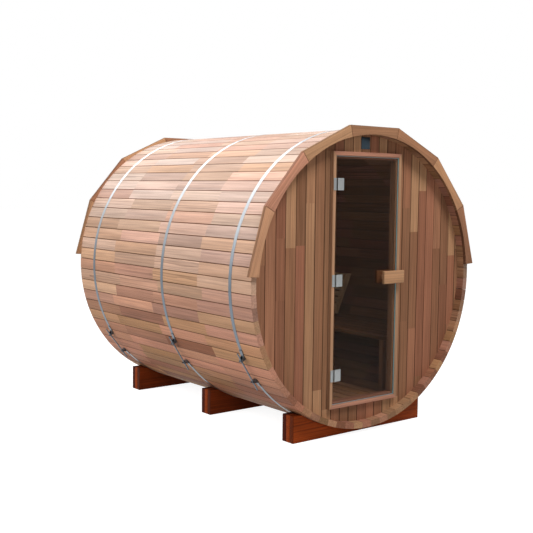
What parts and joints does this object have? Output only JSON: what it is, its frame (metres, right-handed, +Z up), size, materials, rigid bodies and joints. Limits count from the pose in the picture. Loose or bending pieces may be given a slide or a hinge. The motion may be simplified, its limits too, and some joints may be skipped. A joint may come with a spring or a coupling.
{
  "type": "barrel sauna",
  "caption": "Outdoor cedar barrel sauna: hooped staves on saddle cradles, board end walls, arched end trim and a hinged tinted glass door",
  "frame": {"origin": "on the ground at mid-length, on the underside of the middle cradle", "axes": "+Z up, the door faces -Y, +X to the right seen from the front, the barrel lies along Y"},
  "size_m": [2.2028, 2.4, 2.1827],
  "materials": {
    "cedar_staves": "sawn cedar, oiled, boards of mixed pink, tan and brown",
    "cedar_trim": "sawn cedar, oiled",
    "cedar_boards": "tongue and groove cedar, oiled",
    "cedar_frame": "planed cedar",
    "cedar_handle": "planed cedar",
    "cedar_interior": "planed cedar, unfinished",
    "stained_cradle": "dark red-brown stain",
    "stainless_band": "brushed stainless",
    "satin_steel": "satin",
    "tinted_glass": "bronze-grey tint, polished green edge"
  },
  "bodies": {
    "cabin": {"staves_01": "cedar_staves", "staves_02": "cedar_staves", "staves_03": "cedar_staves", "staves_04": "cedar_staves", "staves_05": "cedar_staves", "staves_06": "cedar_staves", "staves_07": "cedar_staves", "staves_08": "cedar_staves", "staves_09": "cedar_staves", "staves_10": "cedar_staves", "staves_11": "cedar_staves", "staves_12": "cedar_staves", "staves_13": "cedar_staves", "front_trim": "cedar_trim", "rear_trim": "cedar_trim", "front_wall_left": "cedar_boards", "front_wall_right": "cedar_boards", "front_wall_over_door": "cedar_boards", "front_wall_under_door": "cedar_boards", "rear_wall": "cedar_boards", "door_head": "cedar_frame", "door_sill": "cedar_frame", "door_jamb_left": "cedar_frame", "door_jamb_right": "cedar_frame", "hinge_frame_leaves": "satin_steel", "hinge_pins": "satin_steel", "band_front": "stainless_band", "tensioner_front": "stainless_band", "cradle_front": "stained_cradle", "band_middle": "stainless_band", "tensioner_middle": "stainless_band", "cradle_middle": "stained_cradle", "band_rear": "stainless_band", "tensioner_rear": "stainless_band", "cradle_rear": "stained_cradle", "floor_boards": "cedar_interior", "floor_bearers": "cedar_interior", "bench_slats": "cedar_interior", "bench_supports": "cedar_interior", "backrest_ribs": "cedar_interior", "backrest_slats": "cedar_interior"},
    "door": {"door_glass": "tinted_glass", "hinge_glass_clamps": "satin_steel", "handle_outer": "cedar_handle", "handle_inner": "cedar_handle", "handle_standoffs": "cedar_handle", "handle_bolts": "satin_steel"}
  },
  "joints": [
    {"name": "door_hinge", "type": "hinge", "parent": "cabin", "child": "door", "pos_m": [-0.297, -1.148, 1.104], "axis": [0, 0, -1], "range_deg": [0, 110]}
  ]
}
